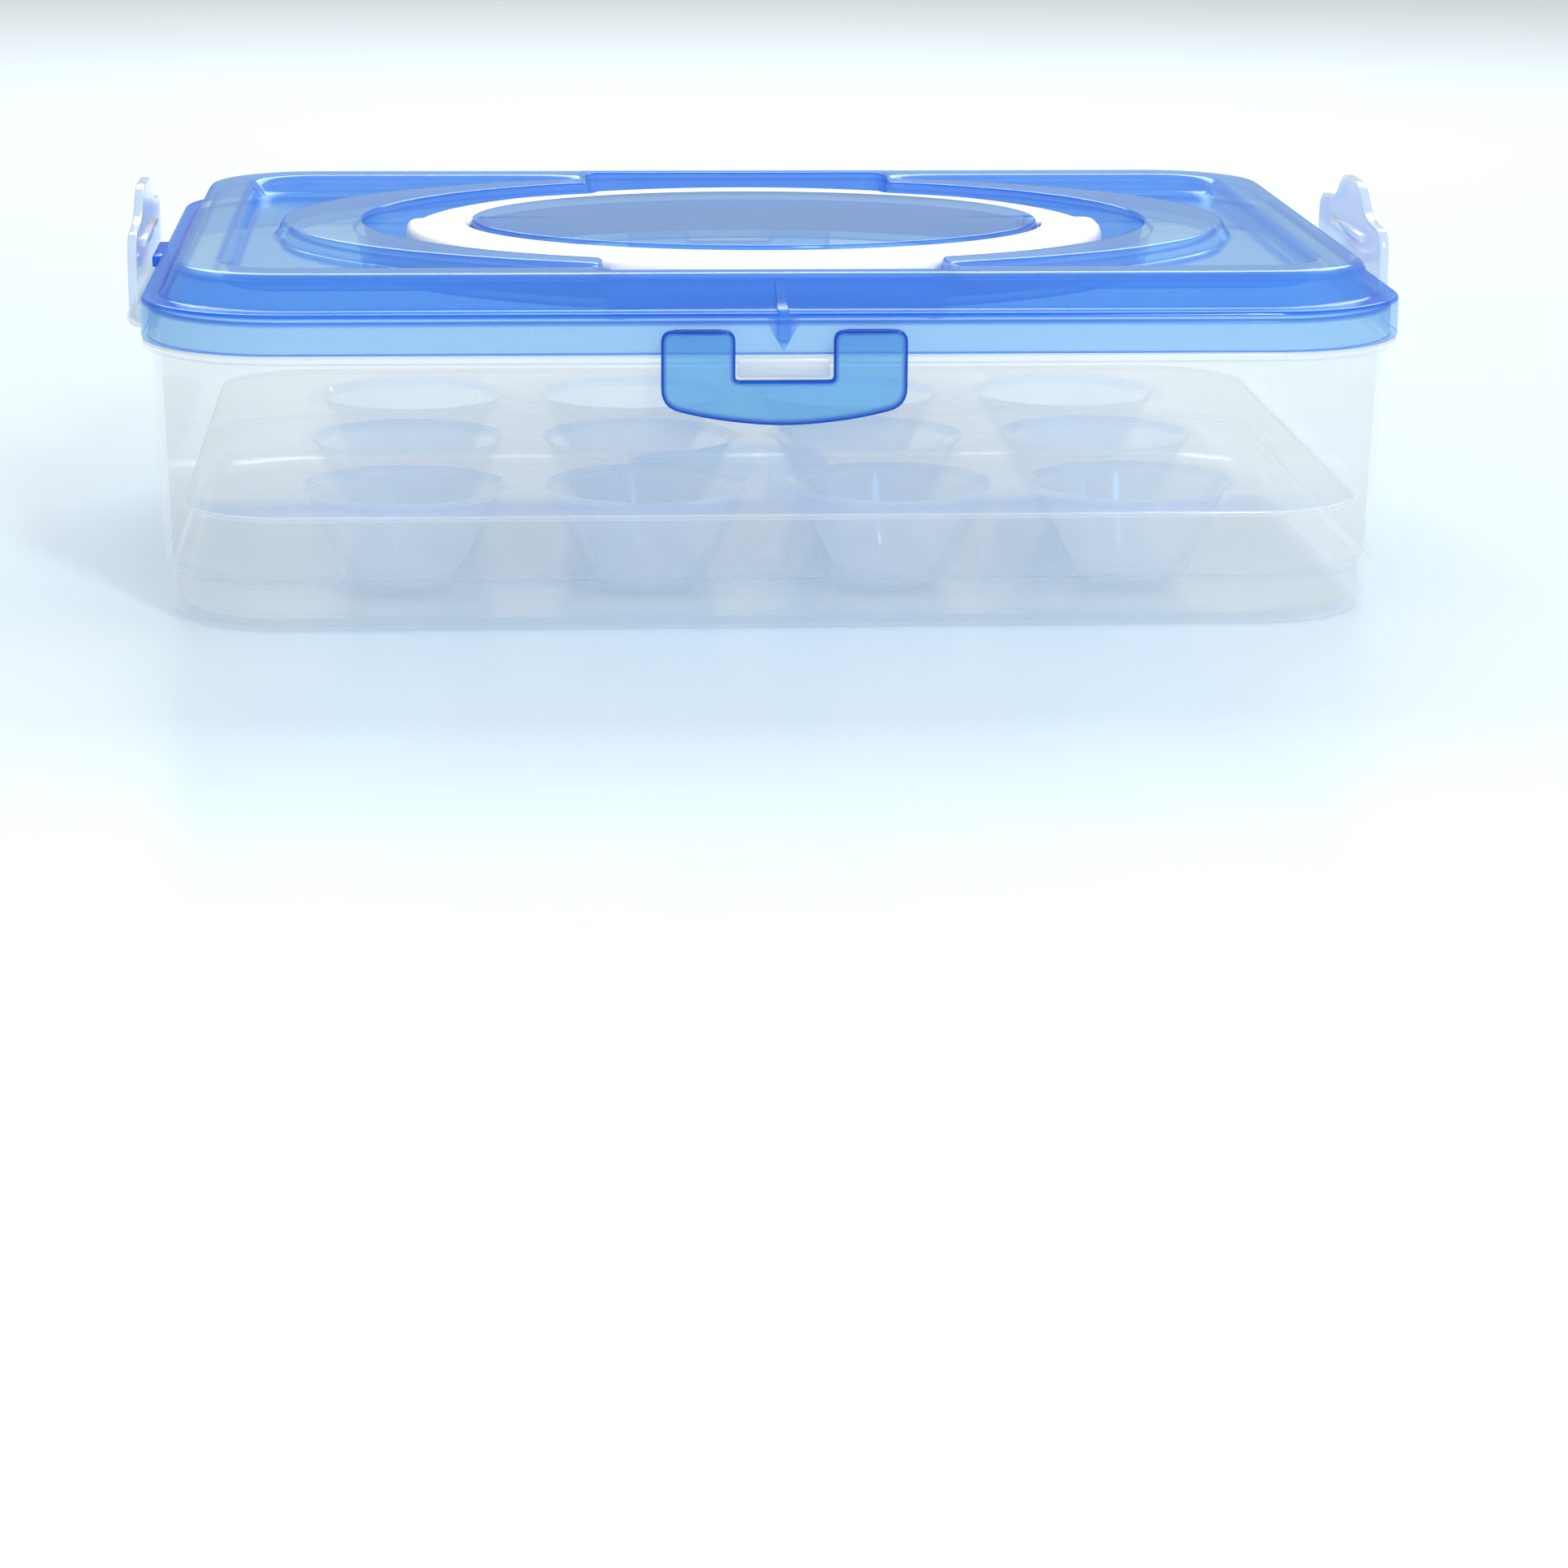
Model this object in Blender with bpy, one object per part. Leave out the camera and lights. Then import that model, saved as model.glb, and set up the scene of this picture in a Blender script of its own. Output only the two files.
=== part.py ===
"""Egg carrier: a clear body, a lift-out tray of egg cups and a blue lid with a fold-over handle.

Metres, +Z up. The origin is at the centre of the base, +X runs along the length and -Y is the front.
"""

from math import asin, atan2, cos, pi, radians, sin, sqrt

import bmesh
import bpy

# ---- driving dimensions -------------------------------------------------------------------------
LENGTH, DEPTH = 0.250, 0.188  # outside of the lid's skirt
CORNER = 0.028  # plan radius of the skirt's corners
SKIRT_BOTTOM, SKIRT_TOP, TOP = 0.0554, 0.0634, 0.0694
GAP = 0.0003  # between pieces that touch
LID_WALL, BODY_WALL, TRAY_WALL = 0.0016, 0.0015, 0.0012

# Lid: half length, half depth and corner radius of the raised top
RAISED = (0.1185, 0.0812, 0.0220)
VALLEY_DEPTH = 0.0035
RING = (0.1000, 0.0716)  # semi-axes of the raised ring's outer edge
CHANNEL = (0.0830, 0.0645)  # semi-axes of the handle channel's outer edge
CHANNEL_FLOOR = 0.0605
PLATEAU = (0.0603, 0.0435)  # semi-axes of the oval in the middle
NOTCH_FLAT, NOTCH_EDGE, NOTCH_REACH = 0.0255, 0.0350, 0.0765  # finger notches, front and back

# Handle and the half ring that it rests on when it is folded back
HANDLE_OUTER = (0.0740, 0.0675)
HANDLE_TOP, HANDLE_BOTTOM = 0.0687, 0.0617
PIVOT_Z = 0.0682
PIN_RADIUS, SLOT_HALF, SLOT_FLOOR = 0.0010, 0.0014, 0.0668
REST_TOP = 0.0674
BLOCK_BACK, REST_START = 0.0045, 0.0080

# Body
BODY_TOP = 0.0614
FLANGE_TOP = SKIRT_BOTTOM - GAP
STEP_Z = 0.0106  # little step round the foot of the walls
FOOT_RADIUS = 0.0100

# Tray
PITCH_X, PITCH_Y = 0.0495, 0.0535
COLUMNS, ROWS = 4, 3
PLATE_TOP = 0.0225
TRAY_INSET = 0.0072  # from the outside of the lid's skirt to the edge of the tray's plate
CUP_RIM, CUP_FOOT = 0.0200, 0.0110  # inside radii

# Rib down the middle of the lid's front and back, as (distance from the middle, height)
RIB = [
    (0.0830, 0.0672),
    (0.0836, 0.0683),
    (0.0903, 0.0640),
    (0.0945, 0.0640),
    (0.0945, 0.0581),
    (0.0932, 0.0581),
    (0.0932, 0.0626),
    (0.0895, 0.0626),
]

# Front and rear latches: hinged on the lid, hanging down
LATCH_HALF, LATCH_NOTCH_HALF = 0.02375, 0.0095
LATCH_INNER_Y, LATCH_THICK = 0.0960, 0.0020
LATCH_AXIS = (0.0954, 0.0600)  # distance from the middle and height
LATCH_TOP, LATCH_NOTCH_Z, LATCH_SIDE_Z, LATCH_TIP_Z = 0.0606, 0.0509, 0.0476, 0.0422

# Side latches: hinged on the body, standing up
SIDE_HALF = 0.0340
SIDE_AXIS = (0.1278, 0.0545)
SIDE_INNER_X, SIDE_THICK = 0.1281, 0.0019
SIDE_SHOULDER, SIDE_TOP = 0.0703, 0.0775  # heights of the shoulders and of the finger tab
FINGER_HALF, FINGER_ROOT = 0.0090, 0.0170  # half widths of the finger tab at its top and its root
CATCH = (0.1272, 0.0655, 0.0675, 0.0160)  # inner face, lower and upper height, half width
TAB_HALF, TAB_REACH, TAB_LOW, TAB_HIGH = 0.01075, 0.1268, 0.0606, 0.0630
EAR_THICK, EAR_CLEAR = 0.0026, 0.0006
SIDE_PIN, SIDE_HOLE = 0.0010, 0.0013

CORNER_STEPS = 6
ROUND_STEPS = 24


# ---- scene and materials ------------------------------------------------------------------------
def clear_scene():
    for obj in list(bpy.data.objects):
        bpy.data.objects.remove(obj, do_unlink=True)


def new_collection(name):
    found = bpy.data.collections.new(name)
    bpy.context.scene.collection.children.link(found)
    return found


def material(name, color, roughness, alpha=1.0, transmission=0.0):
    made = bpy.data.materials.new(name)
    made.use_nodes = True
    shader = made.node_tree.nodes["Principled BSDF"]
    shader.inputs["Base Color"].default_value = (*color, 1.0)
    shader.inputs["Roughness"].default_value = roughness
    shader.inputs["Metallic"].default_value = 0.0
    shader.inputs["Alpha"].default_value = alpha
    shader.inputs["Transmission Weight"].default_value = transmission
    shader.inputs["IOR"].default_value = 1.49
    return made


# ---- mesh helpers -------------------------------------------------------------------------------
def add_object(name, mesh, collection, look=None, smooth=True):
    obj = bpy.data.objects.new(name, mesh)
    collection.objects.link(obj)
    if look:
        mesh.materials.append(look)
    if smooth:
        mesh.shade_smooth()
        mesh.set_sharp_from_angle(angle=radians(35))
    return obj


def mesh_of(name, bm):
    mesh = bpy.data.meshes.new(name)
    bm.to_mesh(mesh)
    bm.free()
    return mesh


def loft(bm, loops, close_first=False, close_last=False):
    """Quads between successive loops of points, which all have the same number of points."""
    rings = [[bm.verts.new(point) for point in loop] for loop in loops]
    count = len(rings[0])
    faces = []
    for low, high in zip(rings, rings[1:]):
        for i in range(count):
            j = (i + 1) % count
            faces.append(bm.faces.new((low[i], low[j], high[j], high[i])))
    for wanted, ring in ((close_first, rings[0]), (close_last, rings[-1])):
        if wanted:
            centre = bm.verts.new(tuple(sum(v.co[k] for v in ring) / count for k in range(3)))
            for i in range(count):
                faces.append(bm.faces.new((ring[i], ring[(i + 1) % count], centre)))
    bmesh.ops.recalc_face_normals(bm, faces=faces)


def plate(bm, near, far):
    """A flat plate between two like outlines."""
    rings = [[bm.verts.new(point) for point in outline] for outline in (near, far)]
    count = len(near)
    faces = [bm.faces.new(rings[0]), bm.faces.new(rings[1])]
    for i in range(count):
        j = (i + 1) % count
        faces.append(bm.faces.new((rings[0][i], rings[0][j], rings[1][j], rings[1][i])))
    bmesh.ops.recalc_face_normals(bm, faces=faces)


def box(bm, low, high):
    made = bmesh.ops.create_cube(bm, size=1.0)["verts"]
    for v in made:
        for k in range(3):
            v.co[k] = low[k] + (v.co[k] + 0.5) * (high[k] - low[k])
    return made


def cylinder_x(bm, radius, x0, x1, y, z, segments=12):
    made = bmesh.ops.create_cone(
        bm, cap_ends=True, cap_tris=False, segments=segments, radius1=radius, radius2=radius, depth=1.0
    )["verts"]
    for v in made:
        across, up, along = v.co.x, v.co.y, v.co.z
        v.co = (x0 + (along + 0.5) * (x1 - x0), y + across, z + up)


def cylinder_y(bm, radius, y0, y1, x, z, segments=12):
    made = bmesh.ops.create_cone(
        bm, cap_ends=True, cap_tris=False, segments=segments, radius1=radius, radius2=radius, depth=1.0
    )["verts"]
    for v in made:
        across, up, along = v.co.x, v.co.y, v.co.z
        v.co = (x + across, y0 + (0.5 - along) * (y1 - y0), z + up)


def boolean(obj, operation, bm, helpers):
    """Joins or cuts obj with the closed shape in bm, kept as a hidden helper object."""
    name = f"{obj.name}_{operation.lower()}_{len(obj.modifiers)}"
    helper = add_object(name, mesh_of(name, bm), helpers, smooth=False)
    helper.hide_render = True
    helper.display_type = "WIRE"
    cut = obj.modifiers.new(name, "BOOLEAN")
    cut.operation = operation
    cut.solver = "EXACT"
    cut.object = helper


# ---- plan outlines ------------------------------------------------------------------------------
def spread(first, last, steps):
    return [first + (last - first) * i / steps for i in range(steps)]


def plan_angles():
    """Directions from the centre: close together round the corners and at the finger notches."""
    half_x, half_y = LENGTH / 2, DEPTH / 2
    corner_from = atan2(half_y - CORNER, half_x)
    corner_to = atan2(half_y, half_x - CORNER)
    notch_from, notch_to = radians(59), radians(70)
    quarter = (
        spread(0.0, corner_from, 4)
        + spread(corner_from, corner_to, CORNER_STEPS)
        + spread(corner_to, notch_from, 3)
        + spread(notch_from, notch_to, 5)
        + spread(notch_to, pi / 2, 3)
    )
    half = quarter + [pi - a for a in [pi / 2] + quarter[:0:-1]]
    return half + [a + pi for a in half]


def rounded_reach(half_x, half_y, radius, angle):
    """Distance from the centre to a rounded rectangle, in the direction of angle."""
    c, s = abs(cos(angle)), abs(sin(angle))
    core_x, core_y = half_x - radius, half_y - radius
    if c * half_y < s * core_x:
        return half_y / s
    if s * half_x < c * core_y:
        return half_x / c
    along = c * core_x + s * core_y
    return along + sqrt(along * along - core_x**2 - core_y**2 + radius**2)


def oval_reach(semi_x, semi_y, angle):
    return 1 / sqrt((cos(angle) / semi_x) ** 2 + (sin(angle) / semi_y) ** 2)


def smooth_step(low, high, value):
    t = min(1.0, max(0.0, (value - low) / (high - low)))
    return t * t * (3 - 2 * t)


def ring_points(angles, reach, height):
    return [(reach(a) * cos(a), reach(a) * sin(a), height(a)) for a in angles]


def rounded_loop(half_x, half_y, radius, z):
    """A rounded rectangle with its corner arcs in even steps."""
    points = []
    for turn, (sx, sy) in enumerate(((1, 1), (-1, 1), (-1, -1), (1, -1))):
        middle_x, middle_y = sx * (half_x - radius), sy * (half_y - radius)
        for i in range(CORNER_STEPS + 1):
            a = (turn + i / CORNER_STEPS) * pi / 2
            points.append((middle_x + radius * cos(a), middle_y + radius * sin(a), z))
    return points


def inset(size, amount):
    return tuple(value - amount for value in size)


# ---- body ---------------------------------------------------------------------------------------
def ear_outline():
    """Side view of a hinge ear: an arm under the skirt that ends in a round knuckle."""
    x, z = SIDE_AXIS
    radius, top = 0.0024, FLANGE_TOP - GAP
    points = [(LENGTH / 2 - 0.0012, z - radius), (LENGTH / 2 - 0.0012, top)]
    start = pi - asin((top - z) / radius)
    for i in range(9):
        turn = start - i / 8 * (start + pi / 2)
        points.append((x + radius * cos(turn), z + radius * sin(turn)))
    return points


def make_body(parts, helpers, look):
    skirt = (LENGTH / 2, DEPTH / 2, CORNER)
    at_flange = inset(skirt, 0.0021)
    at_step = inset(skirt, 0.0032)
    foot = inset(skirt, 0.0042)
    base = inset(foot, FOOT_RADIUS * 0.86)
    outside = [(*base, 0.0)]
    for turn in (30, 60):
        drop, pull = 1 - sin(radians(turn)), 1 - cos(radians(turn))
        width = FOOT_RADIUS * 0.86 * drop
        outside.append((*inset(foot, width), FOOT_RADIUS * pull))
    outside += [
        (*foot, STEP_Z - 0.0004),
        (*at_step, STEP_Z),
        (*at_flange, FLANGE_TOP - 0.0016),
        (*inset(skirt, 0.0001), FLANGE_TOP - 0.0015),
        (*inset(skirt, 0.0001), FLANGE_TOP),
        (*inset(skirt, LID_WALL + 0.0006), FLANGE_TOP),
        (*inset(skirt, LID_WALL + 0.0006), BODY_TOP),
    ]
    inside = [
        (*inset(skirt, LID_WALL + 0.0006 + BODY_WALL), BODY_TOP),
        (*inset(skirt, LID_WALL + 0.0006 + BODY_WALL), FLANGE_TOP),
        (*inset(at_step, BODY_WALL + 0.0003), STEP_Z),
        (*inset(foot, BODY_WALL + 0.0013), 0.0060),
        (*inset(foot, BODY_WALL + 0.0045), 0.0026),
        (*inset(base, BODY_WALL), BODY_WALL),
    ]
    bm = bmesh.new()
    loft(bm, [rounded_loop(*size) for size in outside + inside], close_first=True, close_last=True)
    body = add_object("body", mesh_of("body", bm), parts, look)

    hooks = bmesh.new()
    for side in (-1, 1):
        y0, y1 = sorted((side * (LATCH_INNER_Y - GAP), side * (DEPTH / 2 - 0.0012)))
        box(hooks, (-0.0089, y0, 0.0513), (0.0089, y1, FLANGE_TOP - 0.0002))
    boolean(body, "UNION", hooks, helpers)

    for sx in (-1, 1):
        ears = bmesh.new()
        holes = bmesh.new()
        outline = [(sx * x, z) for x, z in ear_outline()]
        for sy in (-1, 1):
            near, far = sy * (SIDE_HALF + EAR_CLEAR), sy * (SIDE_HALF + EAR_CLEAR + EAR_THICK)
            plate(ears, *[[(x, y, z) for x, z in outline] for y in (near, far)])
            ends = sorted((near - sy * 0.0010, near + sy * 0.0019))
            cylinder_y(holes, SIDE_HOLE, *ends, sx * SIDE_AXIS[0], SIDE_AXIS[1], segments=14)
        boolean(body, "UNION", ears, helpers)
        boolean(body, "DIFFERENCE", holes, helpers)
    return body


# ---- tray ---------------------------------------------------------------------------------------
def cup_centres():
    for column in range(COLUMNS):
        for row in range(ROWS):
            yield ((column - (COLUMNS - 1) / 2) * PITCH_X, (row - (ROWS - 1) / 2) * PITCH_Y)


def cups(wall, foot_z, mouth_z, reach_z):
    """The cup cones: foot_z to mouth_z, going on straight up to reach_z."""
    bm = bmesh.new()
    for x, y in cup_centres():
        profile = [
            (CUP_FOOT - 0.0030 + wall, foot_z),
            (CUP_FOOT + wall, foot_z + 0.0022),
            (CUP_RIM + wall, mouth_z),
        ]
        if reach_z > mouth_z:
            profile.append((CUP_RIM + wall, reach_z))
        rings = []
        for radius, z in profile:
            turns = [2 * pi * (i + 0.5) / ROUND_STEPS for i in range(ROUND_STEPS)]
            rings.append([(x + radius * cos(t), y + radius * sin(t), z) for t in turns])
        loft(bm, rings, close_first=True, close_last=True)
    return bm


def make_tray(parts, helpers, look):
    plate = inset((LENGTH / 2, DEPTH / 2, CORNER), TRAY_INSET)
    bm = bmesh.new()
    heights = (PLATE_TOP - TRAY_WALL, PLATE_TOP)
    loft(bm, [rounded_loop(*plate, z) for z in heights], close_first=True, close_last=True)
    tray = add_object("egg_tray", mesh_of("egg_tray", bm), parts, look)
    floor = BODY_WALL + GAP
    boolean(tray, "UNION", cups(TRAY_WALL, floor, PLATE_TOP - 0.0002, 0.0), helpers)
    boolean(tray, "DIFFERENCE", cups(0.0, floor + TRAY_WALL, PLATE_TOP, PLATE_TOP + 0.002), helpers)
    return tray


# ---- lid ----------------------------------------------------------------------------------------
def channel_edge(angle):
    """The channel's outer edge: an oval with a finger notch at the front and the back."""
    oval = oval_reach(*CHANNEL, angle)
    notch = NOTCH_REACH / max(abs(sin(angle)), 0.5)
    x = abs(oval * cos(angle))
    return oval + (notch - oval) * (1 - smooth_step(NOTCH_FLAT, NOTCH_EDGE, x))


def in_notch(angle):
    x = abs(channel_edge(angle) * cos(angle))
    facing = abs(sin(angle)) > 0.8
    return (1 - smooth_step(NOTCH_FLAT, NOTCH_EDGE + 0.003, x)) if facing else 0.0


def lid_sections():
    """(reach, height, underside's outward shift, underside's drop) from the skirt to the plateau."""
    frame_inner = inset(RAISED, 0.0089)
    skirt = (LENGTH / 2, DEPTH / 2, CORNER)

    def rounded(size):
        return lambda a: rounded_reach(*size, a)

    def oval(size):
        return lambda a: oval_reach(*size, a)

    def level(z):
        return lambda a: z

    def frame_edge(a):
        return max(rounded_reach(*frame_inner, a), channel_edge(a) + 0.0028)

    def valley_outer(a):
        return max(rounded_reach(*inset(frame_inner, 0.0024), a), channel_edge(a) + 0.0021)

    def valley_inner(a):
        ring = oval_reach(RING[0] + 0.0013, RING[1] + 0.0013, a)
        return max(min(ring, valley_outer(a) - 0.0007), channel_edge(a) + 0.0014)

    def ring_edge(a):
        return max(min(oval_reach(*RING, a), valley_inner(a) - 0.0007), channel_edge(a) + 0.0007)

    def valley_height(a):
        width = rounded_reach(*frame_inner, a) - oval_reach(*RING, a)
        return TOP - VALLEY_DEPTH * smooth_step(0.0040, 0.0105, width)

    def wall_foot(a):
        return channel_edge(a) - 0.0013 - 0.0070 * in_notch(a)

    ledge = (RAISED[0] + 0.0026, RAISED[1] + 0.0088, RAISED[2] + 0.0030)
    shoulder = (RAISED[0] + 0.0008, RAISED[1] + 0.0014, RAISED[2] + 0.0008)
    wall = LID_WALL
    return [
        (rounded(skirt), level(SKIRT_BOTTOM), -wall, 0.0),
        (rounded(skirt), level(SKIRT_TOP - 0.0006), -wall, 0.0010),
        (rounded(inset(skirt, 0.0006)), level(SKIRT_TOP), -wall, wall),
        (rounded(ledge), level(SKIRT_TOP), -0.0010, wall),
        (rounded(shoulder), level(TOP - 0.0007), -wall, 0.0009),
        (rounded(RAISED), level(TOP), -0.0014, wall),
        (frame_edge, level(TOP), 0.0008, wall),
        (valley_outer, valley_height, 0.0009, wall),
        (valley_inner, valley_height, -0.0014, wall),
        (ring_edge, level(TOP), -wall, wall),
        (channel_edge, level(TOP), wall, wall),
        (wall_foot, level(CHANNEL_FLOOR), wall, wall),
        (oval(inset(PLATEAU, -0.0006)), level(CHANNEL_FLOOR), -wall, wall),
        (oval(PLATEAU), level(TOP - 0.0005), -wall, 0.0011),
        (oval(inset(PLATEAU, 0.0005)), level(TOP), -wall, wall),
        (oval(inset(PLATEAU, 0.0260)), level(TOP), 0.0, wall),
    ]


def lid_loops(angles):
    """The upper surface's loops and the underside's, both from the skirt to the plateau."""
    upper, reaches, drops = [], [], []
    for reach, height, shift, drop in lid_sections():
        upper.append(ring_points(angles, reach, height))
        reaches.append([reach(a) + shift for a in angles])
        drops.append([height(a) - drop for a in angles])
    channel = 10
    for k in range(channel - 1, 4, -1):
        reaches[k] = [max(own, after + 0.00025) for own, after in zip(reaches[k], reaches[k + 1])]
    under = []
    for row, heights in zip(reaches, drops):
        under.append([(r * cos(a), r * sin(a), z) for r, a, z in zip(row, angles, heights)])
    return upper, under


def make_lid(parts, helpers, look):
    upper, under = lid_loops(plan_angles())
    bm = bmesh.new()
    loft(bm, under[::-1] + upper, close_first=True, close_last=True)
    lid = add_object("lid", mesh_of("lid", bm), parts, look)

    extras = bmesh.new()
    for side in (-1, 1):
        x0, x1 = sorted((side * (LENGTH / 2 - 0.0008), side * TAB_REACH))
        box(extras, (x0, -TAB_HALF, TAB_LOW), (x1, TAB_HALF, TAB_HIGH))
        outline = [(side * y, z) for y, z in RIB]
        plate(extras, *[[(x, y, z) for y, z in outline] for x in (-0.0010, 0.0010)])
        x0, x1 = sorted((side * (PLATEAU[0] - 0.0042), side * (PLATEAU[0] - 0.0008)))
        box(extras, (x0, -0.0032, 0.0630), (x1, 0.0032, TOP - 0.0008))
    boolean(lid, "UNION", extras, helpers)

    slots = bmesh.new()
    for side in (-1, 1):
        x0, x1 = sorted((side * (PLATEAU[0] - 0.0026), side * (PLATEAU[0] + 0.0020)))
        box(slots, (x0, -SLOT_HALF, SLOT_FLOOR), (x1, SLOT_HALF, TOP + 0.0010))
    boolean(lid, "DIFFERENCE", slots, helpers)
    return lid


# ---- handle -------------------------------------------------------------------------------------
def handle_reach(angle):
    """Outer edge of the handle: an oval that stays clear of the channel's wall."""
    return min(oval_reach(*HANDLE_OUTER, angle), channel_edge(angle) - 0.0016)


def half_ring_section(angle, z_low, z_high, slope):
    """One section across a half ring; slope rounds its lower inner edge, as (width, height)."""
    r_in = oval_reach(*inset(PLATEAU, -0.0010), angle)
    r_out = handle_reach(angle)
    path = [
        (r_in + slope[0], z_low),
        (r_out - 0.0014, z_low),
        (r_out - 0.0004, z_low + 0.0012),
        (r_out, z_high - 0.0022),
        (r_out - 0.0006, z_high - 0.0008),
        (r_out - 0.0024, z_high),
        (r_in + 0.0006, z_high),
        (r_in, z_high - 0.0006),
        (r_in, z_low + slope[1]),
        (r_in + slope[0] * 0.13, z_low + slope[1] * 0.62),
        (r_in + slope[0] * 0.45, z_low + slope[1] * 0.22),
    ]
    return [(r * cos(angle), r * sin(angle), z) for r, z in path]


def slid(section, along):
    return [(x, y + along, z) for x, y, z in section]


def raised(section, z_low):
    return [(x, y, max(z, z_low)) for x, y, z in section]


def half_ring_angles():
    """From one end of a half ring to the other, with the channel's close steps at the notch."""
    return [a for a in plan_angles() if a <= pi + 1e-6]


def make_handle(parts, helpers, look):
    slope = (0.0062, 0.0046)
    rows = [half_ring_section(-a, HANDLE_BOTTOM, HANDLE_TOP, slope) for a in half_ring_angles()]
    first, last = rows[0], rows[-1]
    corner, back = 0.0020, BLOCK_BACK
    cut = HANDLE_BOTTOM + 0.0032
    rows = (
        [raised(slid(first, back), cut), slid(first, corner)]
        + rows
        + [slid(last, corner), raised(slid(last, back), cut)]
    )
    bm = bmesh.new()
    loft(bm, rows, close_first=True, close_last=True)
    bmesh.ops.translate(bm, verts=bm.verts, vec=(0, 0, -PIVOT_Z))
    bmesh.ops.remove_doubles(bm, verts=bm.verts, dist=1e-6)
    handle = add_object("carry_handle", mesh_of("carry_handle", bm), parts, look)
    handle.location = (0, 0, PIVOT_Z)
    pins = bmesh.new()
    for side in (-1, 1):
        ends = sorted((side * (PLATEAU[0] - 0.0021), side * (PLATEAU[0] + 0.0018)))
        cylinder_x(pins, PIN_RADIUS, *ends, 0.0, PIVOT_Z, segments=12)
    boolean(handle, "UNION", pins, helpers)
    return handle


def make_rest(parts, look):
    slope = (0.0010, 0.0012)
    low = CHANNEL_FLOOR + 2 * GAP
    rows = [half_ring_section(a, low, REST_TOP, slope) for a in half_ring_angles()]
    first, last = rows[0], rows[-1]
    rows = [row for row in rows if min(point[1] for point in row) > REST_START + 0.0015]
    rows = [slid(first, REST_START)] + rows + [slid(last, REST_START)]
    bm = bmesh.new()
    loft(bm, rows, close_first=True, close_last=True)
    return add_object("handle_rest", mesh_of("handle_rest", bm), parts, look)


# ---- latches ------------------------------------------------------------------------------------
def hang_outline():
    """Half of the front latch's outline, from the notch round to the tip, as (x, z)."""
    return [
        (LATCH_NOTCH_HALF, LATCH_NOTCH_Z),
        (LATCH_NOTCH_HALF, LATCH_TOP - 0.0022),
        (LATCH_NOTCH_HALF + 0.0007, LATCH_TOP - 0.0007),
        (LATCH_NOTCH_HALF + 0.0022, LATCH_TOP),
        (LATCH_HALF - 0.0022, LATCH_TOP),
        (LATCH_HALF - 0.0007, LATCH_TOP - 0.0007),
        (LATCH_HALF, LATCH_TOP - 0.0022),
        (LATCH_HALF, LATCH_SIDE_Z),
        (LATCH_HALF - 0.0008, LATCH_SIDE_Z - 0.0014),
        (LATCH_HALF - 0.0030, LATCH_SIDE_Z - 0.0024),
        (LATCH_HALF * 0.64, LATCH_TIP_Z + 0.0018),
        (LATCH_HALF * 0.34, LATCH_TIP_Z + 0.0005),
        (0.0, LATCH_TIP_Z),
    ]


def rounded_corners(corners, steps=4):
    """A closed outline through (across, up, radius) corners, with each corner rounded."""
    made = []
    for i, (across, up, radius) in enumerate(corners):
        before, after = corners[i - 1], corners[(i + 1) % len(corners)]
        ends = []
        for other in (before, after):
            length = sqrt((other[0] - across) ** 2 + (other[1] - up) ** 2)
            share = min(radius / length, 0.48)
            ends.append((across + share * (other[0] - across), up + share * (other[1] - up)))
        if radius == 0.0:
            made.append((across, up))
            continue
        for k in range(steps + 1):
            t = k / steps
            first, middle, last = (1 - t) ** 2, 2 * t * (1 - t), t * t
            made.append(
                (
                    first * ends[0][0] + middle * across + last * ends[1][0],
                    first * ends[0][1] + middle * up + last * ends[1][1],
                )
            )
    return made


def make_hanging_latch(name, side, parts, helpers, look):
    """A flap with a notch for the body's hook and two webs reaching in towards the skirt."""
    right = hang_outline()
    outline = right + [(-x, z) for x, z in reversed(right[:-1])]
    axis = (0.0, side * LATCH_AXIS[0], LATCH_AXIS[1])
    bm = bmesh.new()
    depths = [side * y - axis[1] for y in (LATCH_INNER_Y, LATCH_INNER_Y + LATCH_THICK)]
    plate(bm, *[[(x, y, z - axis[2]) for x, z in outline] for y in depths])
    latch = add_object(name, mesh_of(name, bm), parts, look)
    latch.location = axis
    webs = bmesh.new()
    for sx in (-1, 1):
        x0, x1 = sorted((sx * (LATCH_NOTCH_HALF + 0.0025), sx * (LATCH_HALF - 0.0025)))
        y0, y1 = sorted((side * (DEPTH / 2 + GAP), side * (LATCH_INNER_Y + 0.0006)))
        box(webs, (x0, y0, LATCH_AXIS[1] - 0.0004), (x1, y1, LATCH_AXIS[1] + 0.0004))
    boolean(latch, "UNION", webs, helpers)
    return latch


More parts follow.
